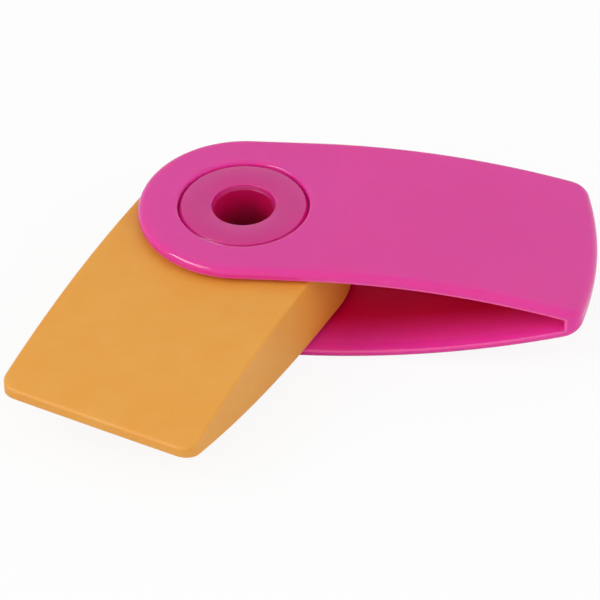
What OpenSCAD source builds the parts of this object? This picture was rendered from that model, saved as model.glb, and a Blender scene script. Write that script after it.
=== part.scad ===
// Swivel eraser: a tapering moulded sleeve, a rubber wedge that turns in it, and a two-part snap hub.
// The origin is on the hub's axis, halfway through the thickness. +X points to the sleeve's closed end,
// +Z is up, and the sleeve rests on its flat lower plate. Sizes are in millimetres.

/* [Sleeve] */
// Width across the sleeve, which is also the diameter of its round hub end
sleeve_w = 25; // [23:0.5:28]
// Thickness over the two plates at the hub
sleeve_h = 13; // [12:0.5:16]
// From the hub's axis to the middle of the closed end
sleeve_reach = 41.9; // [38:0.1:50]
// Thickness of each plate
plate_wall = 1.25; // [1:0.05:1.6]
// From the hub's axis to where the plates start to curve together
plate_flat = 7.7; // [4:0.1:12]
// Thickness of the sleeve at the middle of its closed end
end_h = 2; // [2:0.1:3]
// How far the closed end bulges past its corners
end_bow = 1.75; // [0.5:0.05:3]
// Radius of the closed end's corners, seen from above
end_corner = 2.2; // [1:0.1:4]
// From the closed end back to the bottom of the slot
web_depth = 3.4; // [2.8:0.1:5]
// Rounding of the sleeve's outer edges
sleeve_edge = 0.9; // [0.5:0.05:0.95]

/* [Eraser] */
// How far the rubber stands out past each side of the sleeve
rubber_proud = 0.3; // [-0.5:0.05:0.8]
// Gap between the rubber and each plate
rubber_gap = 0.5; // [0.1:0.05:0.8]
// From the hub's axis to where the rubber starts to thin
rubber_flat = 5; // [0:0.1:6]
// Gap between the slot's bottom and the rubber's corners as they swing past it
swing_gap = 0.9; // [0.4:0.05:4]
// Gap left above the rubber's corners as they swing past the slot's bottom
tip_gap = 0.31; // [0.15:0.01:0.4]
// Radius of the rubber's corners, seen from above
tip_corner = 2; // [1:0.1:5]
// Rounding of the rubber's edges
rubber_edge = 0.35; // [0.2:0.05:0.5]
// Angle that the rubber is turned out of the sleeve, from closed
open_angle = 113.9; // [40:0.1:180]

/* [Hub] */
// Diameter of the hole through the hub
bore_d = 7.2; // [5:0.1:8]
// Diameter of the hub's two discs
disc_d = 14.9; // [14.4:0.1:17.6]
// Running gap round each disc in the sleeve's hole
disc_gap = 0.35; // [0.15:0.01:0.4]
// How far the discs' crowns lie below the plates' faces
disc_recess = 0.05; // [0.02:0.01:0.3]
// Height of the discs' crown
disc_crown = 0.16; // [0.05:0.01:0.25]
// Rounding of the discs' outer edges
disc_edge = 0.12; // [0.08:0.01:0.3]
// How far the bore's mouths reach outwards, and how deep they fall to the bore's wall
mouth_w = 0.4; // [0.3:0.05:0.6]
// Depth of the bore's mouths
mouth_drop = 0.16; // [0.08:0.01:0.25]
// Rounding of the holes' rims in the plates
rim_edge = 0.25; // [0.1:0.05:0.4]
// Wall of the spigot on the upper half, and of the socket on the lower half
tube_wall = 0.9; // [0.7:0.05:1]
// Gap between the spigot and the socket, and between the socket and the rubber
tube_gap = 0.06; // [0.04:0.01:0.1]
// How far the spigot reaches past the middle of the hub
spigot_reach = 3.6; // [2.5:0.1:3.8]
// Height of the snap ring on the spigot
snap_h = 0.18; // [0.1:0.01:0.25]
// Width of the snap ring
snap_w = 0.7; // [0.5:0.05:1]

/* [Hidden] */
$fn = 96;
// Facets of the two large circles that the plates' inner faces follow
plate_fn = 720;
// Steps in a quarter turn of edge rounding, along the taper and round the hub end
edge_steps = 5;
taper_steps = 22;
hub_steps = 20;
corner_steps = 5;
bow_steps = 8;
eps = 0.01;

sleeve_r = sleeve_w / 2;
half_h = sleeve_h / 2;
// Half the height inside the sleeve at the hub
inner_h = half_h - plate_wall;
// The slot's bottom, and the radius that the rubber's corners swing on
web_x = sleeve_reach - web_depth;
swing_r = web_x - swing_gap;

rubber_r = sleeve_r + rubber_proud;
rubber_h = inner_h - rubber_gap;
// The rubber's length puts its rounded corners on the swing radius
rubber_reach = tip_corner + sqrt(pow(swing_r - tip_corner, 2) - pow(rubber_r - tip_corner, 2));
rubber_tip_h = slot_height(swing_r) - tip_gap;

disc_r = disc_d / 2;
bore_r = bore_d / 2;
hole_r = disc_r + disc_gap;
crown_z = half_h - disc_recess;
spigot_r = bore_r + tube_wall;
socket_r = spigot_r + tube_gap + tube_wall;
eye_r = socket_r + tube_gap;

// Radius of the circle that is tangent to a flat and drops by `drop` over `run`
function drop_radius(run, drop) = (run * run + drop * drop) / (2 * drop);

// Half the height at x of a slab that is flat up to `flat` and then follows a circle down to `tip_h` at `reach`
function taper_height(x, h, flat, reach, tip_h) =
    let (arc = drop_radius(reach - flat, h - tip_h), run = max(x - flat, 0))
    h - arc + sqrt(arc * arc - run * run);

// Half the height of the slot at x: its plates' inner faces are parallel to the outer ones
function slot_height(x) =
    let (arc = drop_radius(sleeve_reach - plate_flat, half_h - end_h / 2), run = max(x - plate_flat, 0))
    half_h - arc + sqrt(pow(arc - plate_wall, 2) - run * run);

// Points of a circle from one angle to another
function arc_points(centre, radius, from, to, steps) =
    [for (i = [0:steps]) let (a = from + (to - from) * i / steps) centre + radius * [cos(a), sin(a)]];

// Upper half of a slab's outline, pulled in by `inset`: round hub end, straight side, corner and bowed end
function half_outline(r, flat, reach, bow, corner, inset) =
    let (
        bow_r = drop_radius(r, bow),
        bow_c = [reach - bow_r, 0],
        corner_y = r - corner,
        corner_x = bow_c.x + sqrt(pow(bow_r - corner, 2) - corner_y * corner_y),
        bow_angle = atan2(corner_y, corner_x - bow_c.x)
    )
    concat(
        arc_points([0, 0], r - inset, 180, 90, hub_steps),
        [for (i = [0:taper_steps - 1]) [flat + (corner_x - flat) * i / taper_steps, r - inset]],
        arc_points([corner_x, corner_y], corner - inset, 90, bow_angle, corner_steps),
        [for (i = [1:bow_steps]) let (a = bow_angle * (1 - i / bow_steps)) bow_c + (bow_r - inset) * [cos(a), sin(a)]]
    );

// A whole ring from its upper half: there and back along the mirrored side
function ring(half) =
    concat(half, [for (i = [len(half) - 2:-1:1]) [half[i].x, -half[i].y]]);

// A slab of parallel sides, round at the hub and tapering to a bowed end, with every outer edge rounded
module tapered_slab(r, h, flat, reach, tip_h, bow, corner, edge) {
    // Each level is an angle round the edge, from the top face down to the bottom face
    levels = [for (s = [1, -1], i = [0:edge_steps]) [s, 90 * (s > 0 ? 1 - i / edge_steps : i / edge_steps)]];
    rings = [for (level = levels)
        let (outline = ring(half_outline(r, flat, reach, bow, corner, edge * (1 - cos(level[1])))))
        [for (p = outline)
            [p.x, p.y, level[0] * (taper_height(p.x, h, flat, reach, tip_h) - edge * (1 - sin(level[1])))]]];
    count = len(rings[0]);
    last = (len(rings) - 1) * count;
    walls = [for (k = [0:len(rings) - 2], i = [0:count - 1])
        let (j = (i + 1) % count)
        [k * count + i, k * count + j, (k + 1) * count + j, (k + 1) * count + i]];
    // The faces are ruled straight across, from each point to its mirrored partner
    top = [for (i = [0:count / 2 - 1]) face_strip(i, count, 0, false)];
    bottom = [for (i = [0:count / 2 - 1]) face_strip(i, count, last, true)];
    polyhedron([for (level = rings, p = level) p], concat(walls, top, bottom), convexity = 4);
}

// One strip of a top or bottom face: a triangle at each end, and four-sided between
function face_strip(i, count, first, flipped) =
    let (
        a = i,
        b = i + 1,
        b_mirror = (count - b) % count,
        a_mirror = (count - a) % count,
        corners = a == a_mirror ? [a, b_mirror, b] : b == b_mirror ? [a, a_mirror, b] : [a, a_mirror, b_mirror, b],
        strip = [for (c = corners) first + c]
    )
    flipped ? [for (k = [len(strip) - 1:-1:0]) strip[k]] : strip;

// The open space between the plates, seen from the side: level at the hub, then narrowing to the web
module slot_profile() {
    arc = drop_radius(sleeve_reach - plate_flat, half_h - end_h / 2);
    for (side = [0, 1])
        mirror([0, side])
            union() {
                translate([-rubber_r - 1, -eps])
                    square([rubber_r + 1 + plate_flat + eps, inner_h + eps]);
                intersection() {
                    translate([plate_flat, half_h - arc])
                        circle(arc - plate_wall, $fn = plate_fn);
                    translate([plate_flat, -eps])
                        square([web_x - plate_flat, inner_h + 1]);
                }
            }
}

// Cutter for a plate's round hole, with a rounded rim at the outer face
module hole_cutter() {
    rotate_extrude()
        union() {
            square([hole_r, half_h + 1]);
            difference() {
                translate([hole_r - eps, half_h - rim_edge])
                    square([rim_edge + eps, rim_edge + 1]);
                translate([hole_r + rim_edge, half_h - rim_edge])
                    circle(rim_edge, $fn = 48);
            }
        }
}

module sleeve() {
    color([0.84, 0.33, 0.62])
        difference() {
            tapered_slab(sleeve_r, half_h, plate_flat, sleeve_reach, end_h / 2, end_bow, end_corner, sleeve_edge);
            rotate([90, 0, 0])
                linear_extrude(height = sleeve_w + 2, center = true)
                    slot_profile();
            hole_cutter();
            mirror([0, 0, 1])
                hole_cutter();
        }
}

module eraser() {
    color([0.9, 0.65, 0.32])
        rotate([0, 0, -open_angle])
            difference() {
                tapered_slab(rubber_r, rubber_h, rubber_flat, rubber_reach, rubber_tip_h, 0.05, tip_corner,
                    rubber_edge);
                cylinder(r = eye_r, h = sleeve_h, center = true);
            }
}

// Half section of a disc: flat where it bears on the rubber, a crowned face, and an arc down to the bore
module disc_section() {
    face_in = bore_r + mouth_w;
    face_out = disc_r - disc_edge;
    crown_r = drop_radius((face_out - face_in) / 2, disc_crown);
    mouth_r = drop_radius(mouth_w, mouth_drop);
    top_z = crown_z - disc_crown;
    intersection() {
        translate([(face_in + face_out) / 2, crown_z - crown_r])
            circle(crown_r, $fn = 360);
        union() {
            translate([bore_r, rubber_h])
                square([mouth_w + eps, top_z - mouth_drop - rubber_h]);
            intersection() {
                translate([bore_r, top_z - mouth_drop - eps])
                    square([mouth_w + eps, 1]);
                translate([face_in, top_z - mouth_r])
                    circle(mouth_r, $fn = 96);
            }
            translate([face_in, rubber_h])
                square([face_out - face_in, sleeve_h]);
            translate([face_out - eps, rubber_h])
                square([disc_edge + eps, top_z - disc_edge - rubber_h]);
            translate([face_out, top_z - disc_edge])
                circle(disc_edge, $fn = 48);
        }
    }
}

// Ring of the snap joint, on a wall of radius r at height z
module snap_section(r, z, grow) {
    polygon([
        [r - tube_wall / 2, z - snap_w / 2 - grow],
        [r, z - snap_w / 2 - grow],
        [r + snap_h + grow, z - snap_h / 2],
        [r + snap_h + grow, z + snap_h / 2],
        [r, z + snap_w / 2 + grow],
        [r - tube_wall / 2, z + snap_w / 2 + grow]
    ]);
}

module hub_upper() {
    color([0.78, 0.28, 0.54])
        rotate_extrude()
            union() {
                disc_section();
                translate([bore_r, -spigot_reach])
                    square([tube_wall, spigot_reach + rubber_h + eps]);
                snap_section(spigot_r, -spigot_reach / 2, 0);
            }
}

module hub_lower() {
    color([0.78, 0.28, 0.54])
        rotate_extrude()
            difference() {
                union() {
                    mirror([0, 1])
                        disc_section();
                    translate([bore_r, -rubber_h - eps])
                        square([socket_r - bore_r, 2 * rubber_h + eps]);
                }
                translate([bore_r - 1, -spigot_reach])
                    square([spigot_r + tube_gap - bore_r + 1, sleeve_h]);
                snap_section(spigot_r + tube_gap, -spigot_reach / 2, tube_gap);
            }
}

sleeve();
eraser();
hub_upper();
hub_lower();
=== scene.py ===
"""Blender scene of a swivel eraser: a glossy moulded sleeve, a rubber wedge and a two-part snap hub.

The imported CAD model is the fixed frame. Each of its pieces gets a finely made mesh of the same form, with
even roundings, and a material built from nodes. Sizes are in millimetres until a mesh is handed to Blender.
"""

from __future__ import annotations

import logging
import math
from collections.abc import Callable
from dataclasses import dataclass
from enum import Enum

import bmesh
import bpy
import numpy as np
from mathutils import Matrix, Vector

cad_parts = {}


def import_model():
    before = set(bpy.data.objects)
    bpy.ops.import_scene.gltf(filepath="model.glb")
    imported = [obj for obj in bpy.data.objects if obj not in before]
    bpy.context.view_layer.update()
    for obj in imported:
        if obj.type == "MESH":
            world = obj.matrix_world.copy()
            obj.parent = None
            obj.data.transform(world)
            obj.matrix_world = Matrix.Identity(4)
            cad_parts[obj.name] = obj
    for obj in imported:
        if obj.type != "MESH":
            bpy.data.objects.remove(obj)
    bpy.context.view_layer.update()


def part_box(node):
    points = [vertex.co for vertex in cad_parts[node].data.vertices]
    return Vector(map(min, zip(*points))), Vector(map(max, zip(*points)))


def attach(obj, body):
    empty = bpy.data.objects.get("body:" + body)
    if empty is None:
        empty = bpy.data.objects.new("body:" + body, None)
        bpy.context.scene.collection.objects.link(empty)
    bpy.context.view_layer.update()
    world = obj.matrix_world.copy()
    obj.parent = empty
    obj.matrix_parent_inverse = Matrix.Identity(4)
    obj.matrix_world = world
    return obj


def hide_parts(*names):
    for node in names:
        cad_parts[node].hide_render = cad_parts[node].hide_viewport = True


LOG = logging.getLogger("swivel_eraser")
METRES = 0.001
PHOTO_PIXELS = 600.0
SENSOR_MM = 36.0

# Values written on a mesh for its material: how deep inside it a point lies, which darkens the colour as
# painted shade and dulls the gloss, and the slot's rim, which gets a painted highlight line
INWARD = "inward"
PAINTED_HIGHLIGHT_MARK = "painted_highlight_line"

# Spacing of a slab's cuts: degrees round the hub and the corners, millimetres along the sides and the end
HUB_STEP = 2.0
SIDE_STEP = 0.6
FINE_STEP = 0.22
FINE_RUN = 0.9
CORNER_STEP = 6.0
CORNER_LAST = 8.0
END_STEP = 0.4
END_FIRST = 0.35
END_PAST = 0.2
ANGLE_DIGITS = 9

# Limits in the mesh code: millimetres, radians, and the steps of a small rounding
WELD = 1e-4
SLIVER = 1e-5
TINY = 1e-9
SLACK = 0.01
SHARP = math.radians(50.0)
BEVEL_STEPS = 3

Colour = tuple[float, float, float, float]
Array = np.ndarray
Pair = tuple[float, float]
Section = list[Pair]
Socket = bpy.types.NodeSocket
Thing = bpy.types.Object
Rule = Callable[[Vector], float]


class Body(Enum):
    """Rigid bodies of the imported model."""

    SLEEVE = "sleeve_body"
    ERASER = "eraser_unit"


class Slot(Enum):
    """Material slots of the record."""

    SLEEVE = "sleeve_plastic"
    ERASER = "eraser_rubber"
    HUB = "hub_plastic"


class Side(Enum):
    """Upper or lower half of the hub, as the sign of its height."""

    UPPER = 1.0
    LOWER = -1.0

    @property
    def word(self) -> str:
        """The side's name as it stands in the names of pieces and nodes."""
        return self.name.lower()


def linear(red: int, green: int, blue: int) -> Colour:
    """Turns a screen colour, each value 0 to 255, into the linear values that Blender's sockets take."""
    values = [channel / 255.0 for channel in (red, green, blue)]
    return tuple(v / 12.92 if v <= 0.04045 else ((v + 0.055) / 1.055) ** 2.4 for v in values) + (1.0,)


def clamp(value: float) -> float:
    """Holds a value between 0 and 1."""
    return min(max(value, 0.0), 1.0)


def drop_radius(run: float, drop: float) -> float:
    """Radius of a circle that leaves a flat and falls by drop over run."""
    return (run * run + drop * drop) / (2.0 * drop)


def quarter(steps: int) -> Array:
    """Angles of a quarter turn, from 0 to 90 degrees, in radians."""
    return np.linspace(0.0, math.pi / 2, steps + 1)


def polar_row(angle: Array, distance: Array | float, height: Array | float) -> Array:
    """Places one point in each direction round the hub's axis, at the given distances and heights."""
    distance, height = np.broadcast_arrays(distance, height)
    return np.stack([distance * np.cos(angle), distance * np.sin(angle), height + 0.0 * angle], axis=-1)


def upright(angle: Array, distance: Array | float, top: Array | float,
            low: Array | float, rows: int) -> list[Array]:
    """Lays out rows of points down an upright face, from one height to another."""
    shares = np.linspace(0.0, 1.0, rows + 1)
    return [polar_row(angle, distance, top + (low - top) * share) for share in shares]


@dataclass(frozen=True)
class Slab:
    """A slab with a round hub end, parallel sides and a bowed end, flat at the hub and tapering from there.

    Attributes:
        radius: Half the width, which is also the radius of the hub end.
        reach: From the hub's axis to the middle of the bowed end.
        bow: How far the end bulges past its corners.
        corner: Radius of the end's corners, seen from above.
        flat: From the hub's axis to where the taper starts.
        half_height: Half the thickness at the hub.
        tip_half_height: Half the thickness at the middle of the end.
    """

    radius: float
    reach: float
    bow: float
    corner: float
    flat: float
    half_height: float
    tip_half_height: float

    @property
    def bow_radius(self) -> float:
        """Radius of the bowed end, seen from above."""
        return drop_radius(self.radius, self.bow)

    @property
    def taper_radius(self) -> float:
        """Radius of the circle that each face follows, seen from the side."""
        return drop_radius(self.reach - self.flat, self.half_height - self.tip_half_height)

    @property
    def corner_centre(self) -> Pair:
        """Centre of the corner at positive y, seen from above, as x and y."""
        y = self.radius - self.corner
        return self.reach - self.bow_radius + math.sqrt((self.bow_radius - self.corner) ** 2 - y * y), y

    def height(self, x: Array, wall: float = 0.0) -> Array:
        """Half the height at x.

        Args:
            x: Distances along the slab from the hub's axis.
            wall: How far inside the outer face the surface lies, measured square to it.

        Returns:
            Height of the surface above the middle plane at each x.
        """
        run = np.maximum(x - self.flat, 0.0)
        arc = self.taper_radius
        return self.half_height - arc + np.sqrt((arc - wall) ** 2 - run * run)

    def distance(self, angle: Array, inset: float = 0.0) -> Array:
        """Distance from the hub's axis to the outline, pulled in by inset.

        Args:
            angle: Directions round the hub's axis, in radians from +X.
            inset: How far inside the outline to measure, square to it.

        Returns:
            The distance in each direction.
        """
        turn = np.abs(np.arctan2(np.sin(angle), np.cos(angle)))
        ray_x, ray_y = np.cos(turn), np.sin(turn)
        centre_x, centre_y = self.corner_centre
        bow_x = self.reach - self.bow_radius

        def far_hit(x: float, y: float, radius: float) -> Array:
            """Finds where each ray leaves a circle, or gives nan where it misses."""
            along = x * ray_x + y * ray_y
            return along + np.sqrt(along**2 - x * x - y * y + radius * radius)

        side = (self.radius - inset) / np.maximum(ray_y, TINY)
        # The corner's arc holds where the ray meets it past the corner's centre, seen from the bow's centre
        slope = centre_y / (centre_x - bow_x)
        with np.errstate(invalid="ignore"):
            corner = far_hit(centre_x, centre_y, self.corner - inset)
            bow = far_hit(bow_x, 0.0, self.bow_radius - inset)
            on_corner = corner * ray_y - centre_y > slope * (corner * ray_x - centre_x)
        past = np.where(on_corner, corner, bow)
        straight = np.where(side * ray_x <= centre_x, side, past)
        return np.where(turn >= math.pi / 2, self.radius - inset, straight)

    def spread(self, angle: Array, start: float, end: Array, rows: int, wall: float = 0.0
               ) -> list[Array]:
        """Lays out rows of points on a face, wall inside the outer one, from one distance to another."""
        distances = [start + (end - start) * share for share in np.linspace(0.0, 1.0, rows + 1)]
        return [polar_row(angle, d, self.height(d * np.cos(angle), wall)) for d in distances]

    def rounding(self, angle: Array, edge: float, rows: int) -> list[Array]:
        """Lays out rows of points round the outer edge, after the face's last row, down to the side."""
        drops = [(self.distance(angle, edge * (1 - math.cos(a))), edge * (1 - math.sin(a)))
                 for a in quarter(rows)[::-1][1:]]
        return [polar_row(angle, d, self.height(d * np.cos(angle)) - drop) for d, drop in drops]

    def angles(self, extra: tuple[float, ...] = ()) -> Array:
        """Directions at which to cut the slab, close together where its outline turns.

        Args:
            extra: Further directions between 0 and 90 degrees that need a cut of their own, in radians.

        Returns:
            Rising angles round the whole turn, in radians.
        """
        centre_x, centre_y = self.corner_centre
        end_x = self.reach - self.bow / 2
        arc = np.radians(np.arange(90.0, CORNER_LAST, -CORNER_STEP))
        half = np.concatenate([
            np.radians(np.arange(90.0, 180.0, HUB_STEP)),
            np.arctan2(self.radius, np.arange(SIDE_STEP, centre_x - FINE_RUN, SIDE_STEP)),
            np.arctan2(self.radius, np.arange(centre_x - FINE_RUN, centre_x, FINE_STEP)),
            np.arctan2(centre_y + self.corner * np.sin(arc), centre_x + self.corner * np.cos(arc)),
            np.arctan2(np.arange(END_FIRST, centre_y + END_PAST, END_STEP), end_x),
            np.array(extra),
        ])
        half = np.unique(np.round(half, ANGLE_DIGITS))
        return np.concatenate([-half[::-1], [0.0], half, [math.pi]])


class PatchMesh:
    """Gathers grids of points into one closed mesh."""

    def __init__(self) -> None:
        """Starts an empty mesh."""
        self.points: list[Array] = []
        self.faces: list[tuple[int, ...]] = []
        self.count = 0

    def add_grid(self, grid: Array, closed: bool = False) -> None:
        """Adds a grid of four-sided faces.

        Args:
            grid: Points as rows by columns by three.
            closed: Whether the last column joins the first.
        """
        rows, columns = grid.shape[:2]
        first = self.count
        self.points.append(grid.reshape(-1, 3))
        self.count += rows * columns
        for i in range(rows - 1):
            for j in range(columns if closed else columns - 1):
                k = (j + 1) % columns
                a, b = first + i * columns, first + (i + 1) * columns
                self.faces.append((a + j, a + k, b + k, b + j))

    def add_mirrored(self, grid: Array, closed: bool = False) -> None:
        """Adds a grid and its mirror image below the middle plane."""
        self.add_grid(grid, closed)
        self.add_grid(grid * np.array([1.0, 1.0, -1.0]), closed)

    def build(self, name: str, soften: float = 0.0, marks: dict[str, Rule] | None = None) -> Thing:
        """Welds the grids and makes an object of them.

        Args:
            name: Name of the new object.
            soften: Rounding given to edges that are still sharp, in millimetres.
            marks: Values from 0 to 1 to write on the mesh for its material, each as a rule for a point.

        Returns:
            The new object, in metres, linked to the scene.
        """
        made = bmesh.new()
        corners = [made.verts.new(p) for p in np.concatenate(self.points)]
        for face in self.faces:
            made.faces.new([corners[i] for i in face])
        bmesh.ops.remove_doubles(made, verts=made.verts, dist=WELD)
        bmesh.ops.dissolve_degenerate(made, edges=made.edges, dist=SLIVER)
        bmesh.ops.recalc_face_normals(made, faces=made.faces)
        if soften:
            sharp = [e for e in made.edges if e.is_manifold and e.calc_face_angle(0.0) > SHARP]
            bmesh.ops.bevel(made, geom=sharp, offset=soften, segments=BEVEL_STEPS, profile=0.5,
                            affect="EDGES", clamp_overlap=True)
        for face in made.faces:
            face.smooth = True
        for mark, rule in (marks or {}).items():
            layer = made.verts.layers.float.new(mark)
            for corner in made.verts:
                corner[layer] = rule(corner.co)
        made.transform(Matrix.Scale(METRES, 4))
        mesh = bpy.data.meshes.new(name)
        made.to_mesh(mesh)
        made.free()
        thing = bpy.data.objects.new(name, mesh)
        bpy.context.scene.collection.objects.link(thing)
        return thing


@dataclass(frozen=True)
class Grain:
    """Noise over an object's own coordinates.

    Attributes:
        scale: Cells per metre.
        detail: Octaves of finer noise.
        low: Value of the noise that counts as none.
        high: Value of the noise that counts as full.
        depth: Depth of the relief that it makes, in millimetres.
        stretch: Scale along each axis, for noise that is drawn out into streaks.
    """

    scale: float
    detail: float
    low: float = 0.35
    high: float = 0.65
    depth: float = 0.0
    stretch: tuple[float, float, float] = (1.0, 1.0, 1.0)


class Graph:
    """Adds nodes to one node tree and links them."""

    def __init__(self, tree: bpy.types.NodeTree) -> None:
        """Takes the tree to add to."""
        self.tree = tree

    def give(self, node: bpy.types.Node, key: str | int, value: object) -> None:
        """Fills one input of a node.

        Args:
            node: The node.
            key: Name or number of the input.
            value: A socket to link, or a constant to set.
        """
        if isinstance(value, Socket):
            self.tree.links.new(value, node.inputs[key])
        else:
            node.inputs[key].default_value = value

    def add(self, kind: str, inputs: dict[str | int, object], **settings: str) -> bpy.types.Node:
        """Adds a node and fills its inputs.

        Args:
            kind: Type of the node.
            inputs: What goes into each input, by its name or number.
            settings: Settings of the node that are made before its inputs are filled.

        Returns:
            The new node.
        """
        node = self.tree.nodes.new(kind)
        for key, value in settings.items():
            setattr(node, key, value)
        for key, value in inputs.items():
            self.give(node, key, value)
        return node

    def noise(self, grain: Grain) -> Socket:
        """Adds noise.

        Args:
            grain: Its size and detail.

        Returns:
            The noise, as a value from 0 to 1.
        """
        place = self.add("ShaderNodeTexCoord", {}).outputs["Object"]
        drawn = self.add("ShaderNodeMapping", {"Vector": place, "Scale": grain.stretch}).outputs["Vector"]
        inputs = {"Vector": drawn, "Scale": grain.scale, "Detail": grain.detail}
        return self.add("ShaderNodeTexNoise", inputs).outputs["Fac"]

    def ramp(self, source: Socket, start: Pair, end: Pair) -> Socket:
        """Maps a value from the range start to the range end, held at both ends."""
        inputs = {"Value": source, "From Min": start[0], "From Max": start[1], "To Min": end[0],
                  "To Max": end[1]}
        return self.add("ShaderNodeMapRange", inputs).outputs["Result"]

    def patches(self, grain: Grain, end: Pair) -> Socket:
        """Adds noise that runs from none to full over a range of values, and returns the value."""
        return self.ramp(self.noise(grain), (grain.low, grain.high), end)

    def blend(self, factor: Socket, under: Socket | Colour, over: Colour) -> Socket:
        """Lays one colour over another by a factor, and returns the colour."""
        inputs = {"Factor": factor, "A": under, "B": over}
        return self.add("ShaderNodeMix", inputs, data_type="RGBA").outputs["Result"]

    def written(self, name: str) -> Socket:
        """Returns a value that is written on the mesh, by its name."""
        return self.add("ShaderNodeAttribute", {}, attribute_name=name).outputs["Fac"]

    def calculate(self, operation: str, first: Socket, second: Socket | float) -> Socket:
        """Works out one value from two and returns it."""
        return self.add("ShaderNodeMath", {0: first, 1: second}, operation=operation).outputs["Value"]

    def seen(self) -> Socket:
        """Tells rays that show the background, which are camera, glossy and transmitted ones.

        Returns:
            A value of 1 for such rays and 0 for the rest.
        """
        path = self.add("ShaderNodeLightPath", {}).outputs
        reflected = self.calculate("MAXIMUM", path["Is Camera Ray"], path["Is Glossy Ray"])
        return self.calculate("MAXIMUM", reflected, path["Is Transmission Ray"])

    def bump(self, grain: Grain, under: Socket | None) -> Socket:
        """Adds a fine relief.

        Args:
            grain: Its noise and depth.
            under: An earlier relief that this one lies on.

        Returns:
            The normal with the relief.
        """
        inputs = {"Height": self.noise(grain), "Distance": grain.depth * METRES}
        if under is not None:
            inputs["Normal"] = under
        return self.add("ShaderNodeBump", inputs).outputs["Normal"]


@dataclass(frozen=True)
class NodeMaterial:
    """A material made from nodes.

    Attributes:
        name: Name of the material.
    """

    name: str

    def start(self) -> tuple[bpy.types.Material, Graph, bpy.types.Node]:
        """Makes the material.

        Returns:
            The material, its nodes and its shader node.
        """
        material = bpy.data.materials.new(self.name)
        material.use_nodes = True
        tree = material.node_tree
        return material, Graph(tree), tree.nodes["Principled BSDF"]


@dataclass(frozen=True)
class Finish(NodeMaterial):
    """A moulded material: two close tones in soft patches, uneven gloss, fine relief, scattered light and,
    where given, painted shade deep inside.

    Attributes:
        colour: Main colour.
        deep: Colour that it drifts to.
        drift: Patches of the two tones.
        worn: Patches of more and less gloss.
        gloss: Roughness of the glossiest and the dullest patches.
        relief: Fine reliefs, each on the one before.
        scatter: How far red, green and blue light scatter inside, as shares of the reach.
        scatter_reach: The reach, in millimetres.
        scatter_weight: Share of the light that scatters inside.
        dull_depth: Value of the inward mark at which the face is dullest.
        dull: Roughness added there.
        specular: Specular level of the face.
        painted_shade: Painted shade colour laid on deep inside the slot, bore and groove by the inward mark,
            if given.
    """

    colour: Colour
    deep: Colour
    drift: Grain
    worn: Grain
    gloss: Pair
    relief: tuple[Grain, ...]
    scatter: tuple[float, float, float] = (1.0, 0.08, 0.25)
    scatter_reach: float = 1.2
    scatter_weight: float = 1.0
    dull_depth: float = 1.0
    dull: float = 0.0
    specular: float = 0.5
    painted_shade: Colour | None = None

    def tint(self, graph: Graph, face: Socket) -> Socket:
        """Lays the finish's own marks over its colour, which here has none, and returns the colour."""
        return face

    def roughness(self, graph: Graph) -> Socket:
        """Sets how glossy the face is.

        Args:
            graph: The material's nodes.

        Returns:
            The roughness.
        """
        patches = graph.patches(self.worn, self.gloss)
        if not self.dull:
            return patches
        inside = graph.ramp(graph.written(INWARD), (0.0, self.dull_depth), (0.0, self.dull))
        return graph.calculate("ADD", patches, inside)

    def build(self) -> bpy.types.Material:
        """Makes the material.

        Returns:
            The material, with all its nodes.
        """
        material, graph, shader = self.start()
        face = graph.blend(graph.patches(self.drift, (0.0, 1.0)), self.colour, self.deep)
        face = self.tint(graph, face)
        # Painted shade: the colour turns towards a dark deep colour as the inward mark rises
        if self.painted_shade:
            face = graph.blend(graph.written(INWARD), face, self.painted_shade)
        normal = None
        for grain in self.relief:
            normal = graph.bump(grain, normal)
        for key, value in {
            "Base Color": face,
            "Roughness": self.roughness(graph),
            "Normal": normal,
            "Specular IOR Level": self.specular,
            "Subsurface Weight": self.scatter_weight,
            "Subsurface Radius": self.scatter,
            "Subsurface Scale": self.scatter_reach * METRES,
        }.items():
            graph.give(shader, key, value)
        return material


@dataclass(frozen=True)
class GlossyPlastic(Finish):
    """Bright moulded plastic with a polished face, faint moulding waves and a few rubbed patches.

    Attributes:
        painted_lip_highlight: Painted highlight colour along the slot's rim.
    """

    name: str = "glossy_pink_plastic"
    colour: Colour = linear(227, 45, 163)
    deep: Colour = linear(225, 41, 159)
    drift: Grain = Grain(60.0, 2.0)
    worn: Grain = Grain(420.0, 6.0, low=0.4, high=0.75)
    gloss: Pair = (0.03, 0.06)
    relief: tuple[Grain, ...] = (Grain(140.0, 1.0, depth=0.006), Grain(2600.0, 2.0, depth=0.0012))
    scatter_reach: float = 1.5
    dull_depth: float = 0.35
    dull: float = 0.4
    # Painted shade colour, deep in the slot and on the holes' walls
    painted_shade: Colour = linear(220, 1, 76)
    # Painted highlight colour, laid along the slot's rim
    painted_lip_highlight: Colour = linear(252, 86, 174)

    def tint(self, graph: Graph, face: Socket) -> Socket:
        """Paints the highlight line along the slot's rim and returns the colour."""
        return graph.blend(graph.written(PAINTED_HIGHLIGHT_MARK), face, self.painted_lip_highlight)


@dataclass(frozen=True)
class MattePlastic(Finish):
    """Moulded plastic with a fine spark-eroded face, deeper in colour and slightly translucent."""

    name: str = "matte_pink_plastic"
    colour: Colour = linear(210, 32, 142)
    deep: Colour = linear(208, 29, 139)
    drift: Grain = Grain(180.0, 3.0)
    worn: Grain = Grain(700.0, 4.0, high=0.7)
    gloss: Pair = (0.16, 0.2)
    relief: tuple[Grain, ...] = (Grain(5200.0, 3.0, depth=0.0025),)
    dull_depth: float = 0.5
    dull: float = 0.2
    # Painted shade colour, deep in the bore and in the groove round the disc
    painted_shade: Colour = linear(212, 11, 94)


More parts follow.
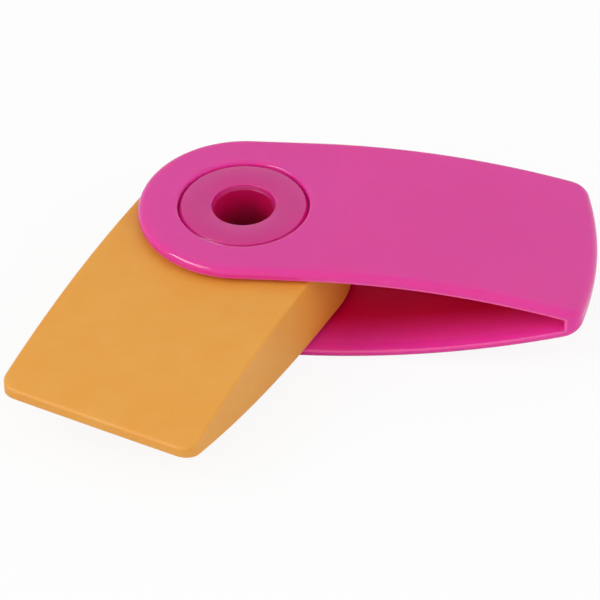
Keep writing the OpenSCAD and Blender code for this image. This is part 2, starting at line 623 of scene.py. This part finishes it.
@dataclass(frozen=True)
class SoftRubber(Finish):
    """Matt eraser rubber: a fine powdery grain, soft mottling and faint darker smudges.

    Attributes:
        smudge: Colour of the smudges.
        smears: Their noise.
        smear_share: How strongly they show.
    """

    name: str = "orange_rubber"
    colour: Colour = linear(232, 161, 60)
    deep: Colour = linear(233, 165, 67)
    drift: Grain = Grain(240.0, 4.0)
    worn: Grain = Grain(900.0, 4.0, low=0.3, high=0.7)
    gloss: Pair = (0.46, 0.56)
    relief: tuple[Grain, ...] = (Grain(110.0, 2.0, depth=0.03), Grain(3600.0, 4.0, depth=0.01))
    scatter: tuple[float, float, float] = (1.0, 0.5, 0.2)
    scatter_weight: float = 0.3
    smudge: Colour = linear(225, 152, 55)
    smears: Grain = Grain(90.0, 5.0, low=0.55, high=0.75, stretch=(1.0, 2.2, 1.0))
    smear_share: float = 0.25

    def tint(self, graph: Graph, face: Socket) -> Socket:
        """Adds the smudges and returns the colour."""
        return graph.blend(graph.patches(self.smears, (0.0, self.smear_share)), face, self.smudge)


@dataclass(frozen=True)
class PaleGround(NodeMaterial):
    """Floor that looks white to the camera and still takes the object's shadow.

    Attributes:
        shade: Colour that lights the object from below.
        face: Colour that the camera sees.
        rough: Roughness.
        lift: Share of plain white in what the camera sees.
        contact: How near the object darkens the floor in reflections, in metres.
        opening: Openness at which that dark starts to lift, and at which it is gone.
    """

    name: str = "pale_ground"
    shade: Colour = (0.88, 0.88, 0.88, 1.0)
    face: Colour = (0.95, 0.95, 0.95, 1.0)
    rough: float = 0.9
    lift: float = 0.9
    contact: float = 0.012
    opening: Pair = (0.45, 0.9)

    def build(self) -> bpy.types.Material:
        """Makes the material.

        Returns:
            The material, with all its nodes.
        """
        material, graph, shader = self.start()
        camera = graph.add("ShaderNodeLightPath", {}).outputs["Is Camera Ray"]
        graph.give(shader, "Base Color", graph.blend(camera, self.shade, self.face))
        graph.give(shader, "Roughness", self.rough)
        graph.give(shader, "Specular IOR Level", 0.0)
        openness = graph.add("ShaderNodeAmbientOcclusion", {"Distance": self.contact}).outputs["AO"]
        direct = graph.calculate("MULTIPLY", camera, self.lift)
        open_share = graph.ramp(openness, self.opening, (0.0, self.lift))
        mirrored = graph.calculate("MULTIPLY", graph.seen(), open_share)
        white = graph.add("ShaderNodeEmission", {}).outputs["Emission"]
        share = graph.calculate("MAXIMUM", direct, mirrored)
        blend = graph.add("ShaderNodeMixShader", {"Fac": share, 1: shader.outputs["BSDF"], 2: white})
        graph.give(graph.tree.nodes["Material Output"], "Surface", blend.outputs["Shader"])
        return material


def seat(thing: Thing, material: bpy.types.Material, body: Body, node: str, slot: Slot) -> None:
    """Gives a piece its material and its place in the frame.

    Args:
        thing: The piece.
        material: Its material.
        body: The rigid body that it rides on.
        node: The CAD node that it stands for.
        slot: The record's material slot; not used.
    """
    thing.data.materials.append(material)
    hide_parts(node)
    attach(thing, body.value)
    LOG.info("%s: %d faces, rides on %s", thing.name, len(thing.data.polygons), body.value)


@dataclass
class Sleeve:
    """The moulded sleeve: two plates that curve together to a web at the closed end.

    Attributes:
        slab: Outer form.
        wall: Thickness of each plate.
        web_x: From the hub's axis to the bottom of the slot.
        edge: Rounding of the outer edges.
        lip: Rounding of the slot's edges.
        line: How far the painted highlight line along the slot's rim reaches past that rounding.
        hole_radius: Radius of the round hole in each plate.
        hole_row: Share of the plate's thickness at which the hole's wall is cut once more.
        rim: Rounding of the hole's outer rim.
        shade_depth: How far in from the slot's rim the painted shade reaches its full depth.
        hole_shade: Share of the full painted shade on the hole's wall.
        outside: Finish of the outer faces.
        inside: Finish of the slot's faces: a lighter copy of the plastic as painted light, with low specular.
        face_rows: Rows from the hole to the outer edge.
        edge_rows: Rows round the outer edge.
        rim_rows: Rows round the hole's rim.
        land_rows: Rows between the outer edge and the slot.
        web_rows: Rows from the slot's face to the middle plane, on both faces of the web.
    """

    slab: Slab
    wall: float = 1.25
    web_x: float = 38.5
    edge: float = 0.9
    lip: float = 0.14
    line: float = 0.08
    hole_radius: float = 7.8
    hole_row: float = 0.6
    rim: float = 0.4
    shade_depth: float = 6.3
    hole_shade: float = 0.4
    outside: GlossyPlastic = GlossyPlastic()
    # A lighter copy of the pink plastic on the slot's faces: painted light at the rim, with low specular
    inside: GlossyPlastic = GlossyPlastic(
        name="inner_pink_painted_light", colour=linear(251, 68, 186), deep=linear(249, 62, 181), specular=0.06)
    face_rows: int = 38
    edge_rows: int = 9
    rim_rows: int = 5
    land_rows: int = 2
    web_rows: int = 3

    @property
    def web_angle(self) -> float:
        """Direction from the hub's axis to the web's edge, in radians from +X."""
        return math.atan2(self.slab.radius, self.web_x)

    def build(self) -> Thing:
        """Builds the sleeve's mesh.

        Returns:
            The new object.
        """
        angle = self.slab.angles((self.web_angle,))
        open_way = angle[np.abs(angle) >= self.web_angle - TINY]
        behind = np.concatenate([open_way[open_way > 0], open_way[open_way < 0]])
        across = angle[np.abs(angle) <= self.web_angle + TINY]
        made = PatchMesh()
        made.add_mirrored(self.outer_face(angle), closed=True)
        made.add_mirrored(self.inner_face(angle), closed=True)
        made.add_mirrored(self.land(behind))
        made.add_mirrored(self.land(across))
        made.add_mirrored(self.web_side(across))
        made.add_mirrored(self.web_wall(across))
        return made.build("sleeve_shell", self.lip, {INWARD: self.inward, PAINTED_HIGHLIGHT_MARK: self.painted_highlight_line})

    def dress(self, thing: Thing) -> None:
        """Gives the shell its glossy plastic, a lighter copy of it with low specular on its inner faces as
        painted light, and its place.

        Args:
            thing: The sleeve's mesh object.
        """
        seat(thing, self.outside.build(), Body.SLEEVE, "sleeve", Slot.SLEEVE)
        thing.data.materials.append(self.inside.build())
        depth = thing.data.attributes[INWARD].data
        for face in thing.data.polygons:
            face.material_index = int(all(depth[i].value > 0.0 for i in face.vertices))

    def from_side(self, point: Vector) -> float:
        """How far in from the sleeve's long sides or its hub end a point lies, seen from above."""
        return self.slab.radius - (abs(point.y) if point.x > 0 else math.hypot(point.x, point.y))

    def inward(self, point: Vector) -> float:
        """How deep inside the slot or a hole a point lies, which sets the painted shade and the duller gloss
        there.

        Args:
            point: A point of the mesh, in millimetres.

        Returns:
            0 on the outside and at the slot's rim, 1 well inside.
        """
        if point.x > self.web_x + SLACK:
            return 0.0
        slot = float(self.slab.height(np.array(point.x), self.wall))
        if abs(point.z) <= slot + self.lip / 2:
            return clamp((self.from_side(point) - self.lip) / self.shade_depth)
        if math.hypot(point.x, point.y) > self.hole_radius + self.rim:
            return 0.0
        below = self.slab.half_height - self.hole_row * self.rim - abs(point.z)
        return self.hole_shade * clamp(below / self.rim)

    def painted_highlight_line(self, point: Vector) -> float:
        """Marks the narrow line along the slot's rim that gets a painted highlight.

        Args:
            point: A point of the mesh, in millimetres.

        Returns:
            1 on the line, 0 elsewhere.
        """
        reach = self.lip + self.line
        if self.from_side(point) > reach or point.x > self.web_x + reach:
            return 0.0
        over = abs(point.z) - float(self.slab.height(np.array(min(point.x, self.web_x)), self.wall))
        beside_web = point.x > self.web_x - self.line and over < 0.0
        return float(beside_web or -SLACK < over < reach)

    def outer_face(self, angle: Array) -> Array:
        """Lays out the hole's wall, the outer face and its rounded edge, from the hole outwards.

        Args:
            angle: Directions of the cuts, in radians.

        Returns:
            Points as rows by directions by three.
        """
        top = self.slab.half_height
        rows = [polar_row(angle, self.hole_radius, top - self.wall * share) for share in (1.0, self.hole_row)]
        rows += [polar_row(angle, self.hole_radius + self.rim * (1 - math.cos(a)),
                           top - self.rim * (1 - math.sin(a))) for a in quarter(self.rim_rows)]
        end = self.slab.distance(angle, self.edge)
        rows += self.slab.spread(angle, self.hole_radius + self.rim, end, self.face_rows)[1:]
        return np.stack(rows + self.slab.rounding(angle, self.edge, self.edge_rows))

    def inner_face(self, angle: Array) -> Array:
        """Lays out the slot's face, from the hole to the side or to the web.

        Args:
            angle: Directions of the cuts, in radians.

        Returns:
            Points as rows by directions by three.
        """
        across = np.abs(angle) <= self.web_angle
        side = self.slab.distance(angle)
        end = np.where(across, self.web_x / np.cos(np.where(across, angle, 0.0)), side)
        return np.stack(self.slab.spread(angle, self.hole_radius, end, self.face_rows, self.wall))

    def split_height(self, distance: Array, angle: Array) -> Array:
        """Finds where the plate's land ends: at the slot's edge, or at a like height beside the web.

        Args:
            distance: Distance from the hub's axis to the side.
            angle: Directions of the cuts, in radians.

        Returns:
            Height above the middle plane in each direction.
        """
        x = distance * np.cos(angle)
        land_top = self.slab.height(x) - self.edge
        slot = self.slab.height(np.minimum(x, self.web_x), self.wall)
        corner_top = float(self.slab.height(np.array(self.web_x)) - self.edge)
        corner_slot = float(self.slab.height(np.array(self.web_x), self.wall))
        return np.where(np.abs(angle) < self.web_angle - TINY, land_top * corner_slot / corner_top, slot)

    def land(self, angle: Array) -> Array:
        """Lays out the flat land between the rounded edge and the slot.

        Args:
            angle: Directions of the cuts, in radians.

        Returns:
            Points as rows by directions by three.
        """
        distance = self.slab.distance(angle)
        top = self.slab.height(distance * np.cos(angle)) - self.edge
        return np.stack(upright(angle, distance, top, self.split_height(distance, angle), self.land_rows))

    def web_side(self, angle: Array) -> Array:
        """Lays out the web's outside, from the plate's land down to the middle plane."""
        distance = self.slab.distance(angle)
        return np.stack(upright(angle, distance, self.split_height(distance, angle), 0.0, self.web_rows))

    def web_wall(self, angle: Array) -> Array:
        """Lays out the slot's bottom, from the slot's face down to the middle plane."""
        top = self.slab.height(np.array(self.web_x), self.wall)
        return np.stack(upright(angle, self.web_x / np.cos(angle), top, 0.0, self.web_rows))


@dataclass
class RubberWedge:
    """The rubber block, with a round hub end, a thin straight tip and soft edges.

    Attributes:
        slab: Outer form.
        turned: Angle from the sleeve's +X to the rubber's tip, in radians.
        edge: Rounding of the edges.
        eye_radius: Radius of the eye round the hub.
        finish: The rubber.
        face_rows: Rows from the eye to the edge.
        edge_rows: Rows round the edge.
        side_rows: Rows from the edge to the middle plane.
    """

    slab: Slab
    turned: float
    edge: float = 0.35
    eye_radius: float = 5.52
    finish: SoftRubber = SoftRubber()
    face_rows: int = 40
    edge_rows: int = 6
    side_rows: int = 8

    def build(self) -> Thing:
        """Builds the rubber's mesh.

        Returns:
            The new object.
        """
        made = PatchMesh()
        made.add_mirrored(self.half(self.slab.angles()), closed=True)
        thing = made.build("rubber_wedge")
        thing.data.transform(Matrix.Rotation(self.turned, 4, "Z"))
        return thing

    def dress(self, thing: Thing) -> None:
        """Gives the wedge its rubber and its place."""
        seat(thing, self.finish.build(), Body.ERASER, "eraser", Slot.ERASER)

    def half(self, angle: Array) -> Array:
        """Lays out the upper half, from the eye's middle over the face and down the side.

        Args:
            angle: Directions of the cuts, in radians.

        Returns:
            Points as rows by directions by three.
        """
        slab = self.slab
        rows = [polar_row(angle, self.eye_radius, 0.0)]
        rows += slab.spread(angle, self.eye_radius, slab.distance(angle, self.edge), self.face_rows)
        rows += slab.rounding(angle, self.edge, self.edge_rows)
        side = slab.distance(angle)
        land = slab.height(side * np.cos(angle)) - self.edge
        return np.stack(rows + upright(angle, side, land, 0.0, self.side_rows)[1:])


@dataclass
class SnapHub:
    """The two hub halves: a crowned disc each, with a spigot above and a socket below.

    Attributes:
        crown_z: Height of the discs' crown.
        seat_z: Height at which the discs bear on the rubber.
        disc_radius: Radius of the discs.
        bore_radius: Radius of the hole through the hub.
        crown: Height of the crown over the disc's edges.
        disc_edge: Rounding of the disc's outer edge.
        mouth_width: How far the bore's flared mouth reaches outwards.
        mouth_depth: How deep the flare falls to the seam in the bore's wall.
        mouth_edge: Rounding of the flare's rim.
        seam: Depth and height of the fine seam below the flare.
        tube_wall: Wall of the spigot and of the socket.
        tube_gap: Gap between spigot and socket.
        spigot_reach: How far the spigot reaches below the middle.
        snap_height: Height of the snap ring.
        snap_width: Width of the snap ring.
        skirt_radius: Radius of the disc's foot, which widens inside the plate's hole.
        skirt_z: Height at which the foot has its full radius.
        shade_depth: How deep in the bore the painted shade reaches its full depth.
        seam_shade: Share of the full painted shade just below the seam.
        groove_shade: Share of the full painted shade in the groove round the disc.
        flare_shade: Share of the full painted shade on the flare.
        finish: The plastic.
        turns: Cuts round the axis.
        crown_steps: Cuts across the crown.
        edge_steps: Cuts round the disc's outer edge.
        rim_steps: Cuts round the flare's rim.
        skirt_cuts: Cuts down the disc's foot, as shares of its height.
        wall_cuts: Cuts in the bore under the seam, as shares of the shade's depth.
        seam_cuts: Cuts in the seam, as shares of its height.
        cone_cuts: Cuts up the flare, as shares of its height.
    """

    crown_z: float = 6.45
    seat_z: float = 4.75
    disc_radius: float = 7.45
    bore_radius: float = 3.6
    crown: float = 0.16
    disc_edge: float = 0.18
    mouth_width: float = 0.28
    mouth_depth: float = 0.5
    mouth_edge: float = 0.1
    seam: float = 0.08
    tube_wall: float = 0.9
    tube_gap: float = 0.06
    spigot_reach: float = 3.6
    snap_height: float = 0.18
    snap_width: float = 0.7
    skirt_radius: float = 7.7
    skirt_z: float = 5.85
    shade_depth: float = 0.7
    seam_shade: float = 0.7
    groove_shade: float = 0.35
    flare_shade: float = 0.3
    finish: MattePlastic = MattePlastic()
    turns: int = 192
    crown_steps: int = 28
    edge_steps: int = 6
    rim_steps: int = 5
    skirt_cuts: tuple[float, ...] = (0.15, 0.4, 0.7, 1.0)
    wall_cuts: tuple[float, ...] = (1.5, 1.0, 0.5, 0.1, 0.0)
    seam_cuts: tuple[float, ...] = (0.9, 0.1)
    cone_cuts: tuple[float, ...] = (0.0, 0.08, 0.5, 0.9)

    @property
    def edge_z(self) -> float:
        """Height of the disc's face at its inner and outer edges."""
        return self.crown_z - self.crown

    def build(self, side: Side) -> Thing:
        """Builds one half by turning its section round the axis.

        Args:
            side: Which half to build.

        Returns:
            The new object.
        """
        stem = self.spigot() if side is Side.UPPER else self.socket()
        angle = np.linspace(0.0, 2 * math.pi, self.turns, endpoint=False)
        rows = [polar_row(angle, r, z * side.value) for r, z in self.disc_face() + stem]
        made = PatchMesh()
        made.add_grid(np.stack(rows + rows[:1]), closed=True)
        return made.build(f"hub_disc_{side.word}", marks={INWARD: self.inward})

    def dress(self, halves: dict[Side, Thing]) -> None:
        """Gives both halves the same matt plastic, and each its place.

        Args:
            halves: The two mesh objects.
        """
        plastic = self.finish.build()
        for side, thing in halves.items():
            seat(thing, plastic, Body.ERASER, f"hub_{side.word}", Slot.HUB)

    def inward(self, point: Vector) -> float:
        """How deep in the bore, or in the groove round the disc, a point lies, which sets the painted shade
        there.

        Args:
            point: A point of the mesh, in millimetres.

        Returns:
            0 on the disc's face, 1 well inside.
        """
        below = self.edge_z - abs(point.z)
        if math.hypot(point.x, point.y) >= self.disc_radius / 2:
            return self.groove_shade * clamp((below - self.disc_edge / 2) / self.shade_depth)
        deep = (below - self.mouth_depth) / self.shade_depth
        if deep > SLACK:
            return min(self.seam_shade + (1.0 - self.seam_shade) * deep, 1.0)
        return self.flare_shade if below > self.mouth_edge / 2 else 0.0

    def disc_face(self) -> Section:
        """Draws the disc, from the bore's wall over the crown to its seat.

        Returns:
            Its points as radius and height.
        """
        face_in = self.bore_radius + self.mouth_width
        face_out = self.disc_radius - self.disc_edge
        middle, half = (face_out + face_in) / 2, (face_out - face_in) / 2
        crown_radius = drop_radius(half, self.crown)
        crown = [(middle + half * s,
                  self.crown_z - crown_radius + math.sqrt(crown_radius**2 - (half * s) ** 2))
                 for s in np.linspace(-1.0, 1.0, self.crown_steps + 1)[1:-1]]
        outer = [(self.disc_radius - self.disc_edge * (1 - math.cos(a)),
                  self.edge_z - self.disc_edge * (1 - math.sin(a))) for a in quarter(self.edge_steps)[::-1]]
        low = self.edge_z - self.disc_edge
        side = [(self.disc_radius + (self.skirt_radius - self.disc_radius) * share,
                 low + (self.skirt_z - low) * share) for share in self.skirt_cuts]
        return self.flare() + crown + outer + side + [(self.skirt_radius, self.seat_z)]

    def flare(self) -> Section:
        """Draws the bore's upper end, from deep in the bore to the disc's face.

        Returns:
            The wall below the seam, the fine seam, the flare and its rounded rim, as radius and height.
        """
        r, seam_z = self.bore_radius, self.edge_z - self.mouth_depth
        wall = [(r, seam_z - self.seam - self.shade_depth * share) for share in self.wall_cuts]
        seam = [(r + self.seam, seam_z - self.seam * share) for share in self.seam_cuts]
        face_in = r + self.mouth_width
        foot_r, top_r = r + self.seam / 4, face_in - self.mouth_edge
        top_z = self.edge_z - self.mouth_edge
        cone = [(foot_r + (top_r - foot_r) * share, seam_z + (top_z - seam_z) * share)
                for share in self.cone_cuts]
        rim = [(face_in - self.mouth_edge * math.cos(a), self.edge_z - self.mouth_edge * (1 - math.sin(a)))
               for a in quarter(self.rim_steps)]
        return wall + seam + cone + rim

    def spigot(self) -> Section:
        """Draws the upper half's spigot, from the disc's seat down and back up the bore.

        Returns:
            Its points as radius and height.
        """
        r = self.bore_radius + self.tube_wall
        z = -self.spigot_reach / 2
        ring = [(r, z + self.snap_width / 2), (r + self.snap_height, z + self.snap_height / 2),
                (r + self.snap_height, z - self.snap_height / 2), (r, z - self.snap_width / 2)]
        return [(r, self.seat_z)] + ring + [(r, -self.spigot_reach), (self.bore_radius, -self.spigot_reach)]

    def socket(self) -> Section:
        """Draws the lower half's socket, in heights that are turned over with the disc.

        Returns:
            Its points as radius and height.
        """
        inner = self.bore_radius + self.tube_wall + self.tube_gap
        outer = inner + self.tube_wall
        z = self.spigot_reach / 2
        width = self.snap_width / 2 + self.tube_gap
        deep = inner + self.snap_height + self.tube_gap
        groove = [(inner, z - width), (deep, z - self.snap_height / 2), (deep, z + self.snap_height / 2),
                  (inner, z + width)]
        return [(outer, self.seat_z), (outer, -self.seat_z), (inner, -self.seat_z)] + groove + [
            (inner, self.spigot_reach), (self.bore_radius, self.spigot_reach)]


def toward(azimuth: float, elevation: float) -> Vector:
    """Turns a direction, in degrees from -Y towards +X and over the horizon, into a vector of length 1."""
    az, el = math.radians(azimuth), math.radians(elevation)
    return Vector((math.sin(az) * math.cos(el), -math.cos(az) * math.cos(el), math.sin(el)))


@dataclass(frozen=True)
class PhotoCamera:
    """The camera, at the photograph's view.

    Attributes:
        azimuth: Direction that the camera stands in, in degrees from -Y.
        elevation: Height of the camera over the horizon, in degrees.
        roll: Turn about the line of sight, in degrees.
        away: Distance along the line of sight to the origin, in millimetres.
        focal: Focal length in pixels of the photograph.
        origin_px: Where the origin lands in the photograph, in pixels.
        nearest: Nearest distance that it shows, in metres.
    """

    azimuth: float = 5.263
    elevation: float = 40.067
    roll: float = -1.2
    away: float = 594.803
    focal: float = 5000.0
    origin_px: Pair = (244.712, 245.803)
    nearest: float = 0.01

    def build(self) -> None:
        """Places the camera and makes it the scene's own."""
        roll = math.radians(self.roll)
        back = toward(self.azimuth, self.elevation)
        right = Vector((0.0, 0.0, 1.0)).cross(back).normalized()
        up = back.cross(right)
        across = right * math.cos(roll) + up * math.sin(roll)
        upward = up * math.cos(roll) - right * math.sin(roll)
        per_pixel = self.away / self.focal
        shift_x = (self.origin_px[0] - PHOTO_PIXELS / 2) * per_pixel
        shift_y = (PHOTO_PIXELS / 2 - self.origin_px[1]) * per_pixel
        place = (back * self.away - across * shift_x - upward * shift_y) * METRES
        lens = bpy.data.cameras.new("photo_camera")
        lens.sensor_width = SENSOR_MM
        lens.lens = SENSOR_MM * self.focal / PHOTO_PIXELS
        lens.clip_start = self.nearest
        camera = bpy.data.objects.new("photo_camera", lens)
        turn = Matrix((across, upward, back)).transposed().to_4x4()
        camera.matrix_world = Matrix.Translation(place) @ turn
        bpy.context.scene.collection.objects.link(camera)
        bpy.context.scene.camera = camera


@dataclass(frozen=True)
class SoftBox:
    """A rectangular studio lamp.

    Attributes:
        name: Name of the lamp.
        azimuth: Direction that the lamp stands in, in degrees from -Y, towards +X.
        elevation: Height over the horizon, in degrees.
        away: Distance from the object, in metres.
        width: Width, in metres.
        height: Height, in metres.
        level: Light that it throws on a surface facing it, where 1 shows a colour as written.
        lights: Whether it lights the object.
        mirrored: Whether glossy surfaces show it.
    """

    name: str
    azimuth: float
    elevation: float
    away: float
    width: float
    height: float
    level: float
    lights: bool = True
    mirrored: bool = False

    def build(self) -> None:
        """Places the lamp, aimed at the object."""
        lamp = bpy.data.lights.new(self.name, "AREA")
        lamp.shape = "RECTANGLE"
        lamp.size, lamp.size_y = self.width, self.height
        lamp.energy = self.level * math.pi**2 * self.away**2
        thing = bpy.data.objects.new(self.name, lamp)
        thing.location = self.away * toward(self.azimuth, self.elevation)
        thing.rotation_euler = thing.location.to_track_quat("Z", "Y").to_euler()
        thing.visible_diffuse = self.lights
        thing.visible_glossy = self.mirrored
        bpy.context.scene.collection.objects.link(thing)


@dataclass(frozen=True)
class Studio:
    """Pale floor, soft lamps and an even pale room.

    Attributes:
        floor_z: Height of the floor, in metres.
        floor_side: Side of the floor, in metres.
        ground: Finish of the floor.
        room_level: Strength of the room's even light.
        boxes: The lamps.
    """

    floor_z: float
    floor_side: float = 1.6
    ground: PaleGround = PaleGround()
    room_level: float = 0.54
    boxes: tuple[SoftBox, ...] = (
        SoftBox("left_key", -68.0, 38.0, away=0.8, width=0.56, height=0.4, level=0.34),
        SoftBox("left_card", -60.0, 38.0, away=0.8, width=0.5, height=0.28, level=0.5, lights=False,
                mirrored=True),
        SoftBox("front_fill", 8.0, 38.0, away=1.0, width=1.0, height=0.5, level=0.07),
        SoftBox("low_fill", 5.0, 18.0, away=1.0, width=1.2, height=0.4, level=0.03),
        SoftBox("right_fill", 64.0, 34.0, away=1.0, width=0.7, height=0.5, level=0.22),
    )

    def build(self) -> None:
        """Builds the floor, the room and the lamps."""
        self.floor()
        self.room()
        for box in self.boxes:
            box.build()

    def floor(self) -> None:
        """Lays the floor under the sleeve."""
        half = self.floor_side / 2
        corners = [(x * half, y * half, self.floor_z) for x, y in ((-1, -1), (1, -1), (1, 1), (-1, 1))]
        mesh = bpy.data.meshes.new("floor")
        mesh.from_pydata(corners, [], [(0, 1, 2, 3)])
        mesh.materials.append(self.ground.build())
        ground = bpy.data.objects.new("floor", mesh)
        bpy.context.scene.collection.objects.link(ground)

    def room(self) -> None:
        """Sets the room: even light on the object, and plain white behind it and in its reflections."""
        world = bpy.data.worlds.new("room")
        bpy.context.scene.world = world
        world.use_nodes = True
        graph = Graph(world.node_tree)
        light = world.node_tree.nodes["Background"]
        plain = (1.0, 1.0, 1.0, 1.0)
        graph.give(light, "Color", plain)
        graph.give(light, "Strength", self.room_level)
        white = graph.add("ShaderNodeBackground", {"Color": plain, "Strength": 1.0})
        inputs = {"Fac": graph.seen(), 1: light.outputs["Background"], 2: white.outputs["Background"]}
        blend = graph.add("ShaderNodeMixShader", inputs)
        graph.give(world.node_tree.nodes["World Output"], "Surface", blend.outputs["Shader"])


def main() -> None:
    """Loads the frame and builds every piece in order."""
    logging.basicConfig(level=logging.INFO, format="%(name)s: %(message)s")
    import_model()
    low, high = (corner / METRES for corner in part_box("sleeve"))
    eraser_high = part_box("eraser")[1].z / METRES

    sleeve = Sleeve(Slab(radius=high.y, reach=high.x, bow=1.75, corner=2.2, flat=7.7, half_height=high.z,
                         tip_half_height=1.0))
    wedge = RubberWedge(Slab(radius=12.75, reach=35.922, bow=0.05, corner=2.0, flat=5.0,
                             half_height=eraser_high, tip_half_height=0.712), turned=math.radians(-113.8))
    hub = SnapHub()

    PhotoCamera().build()
    Studio(floor_z=low.z * METRES).build()
    bpy.context.scene.view_settings.view_transform = "Standard"

    sleeve.dress(sleeve.build())
    wedge.dress(wedge.build())
    hub.dress({side: hub.build(side) for side in Side})


if __name__ == "__main__":
    main()
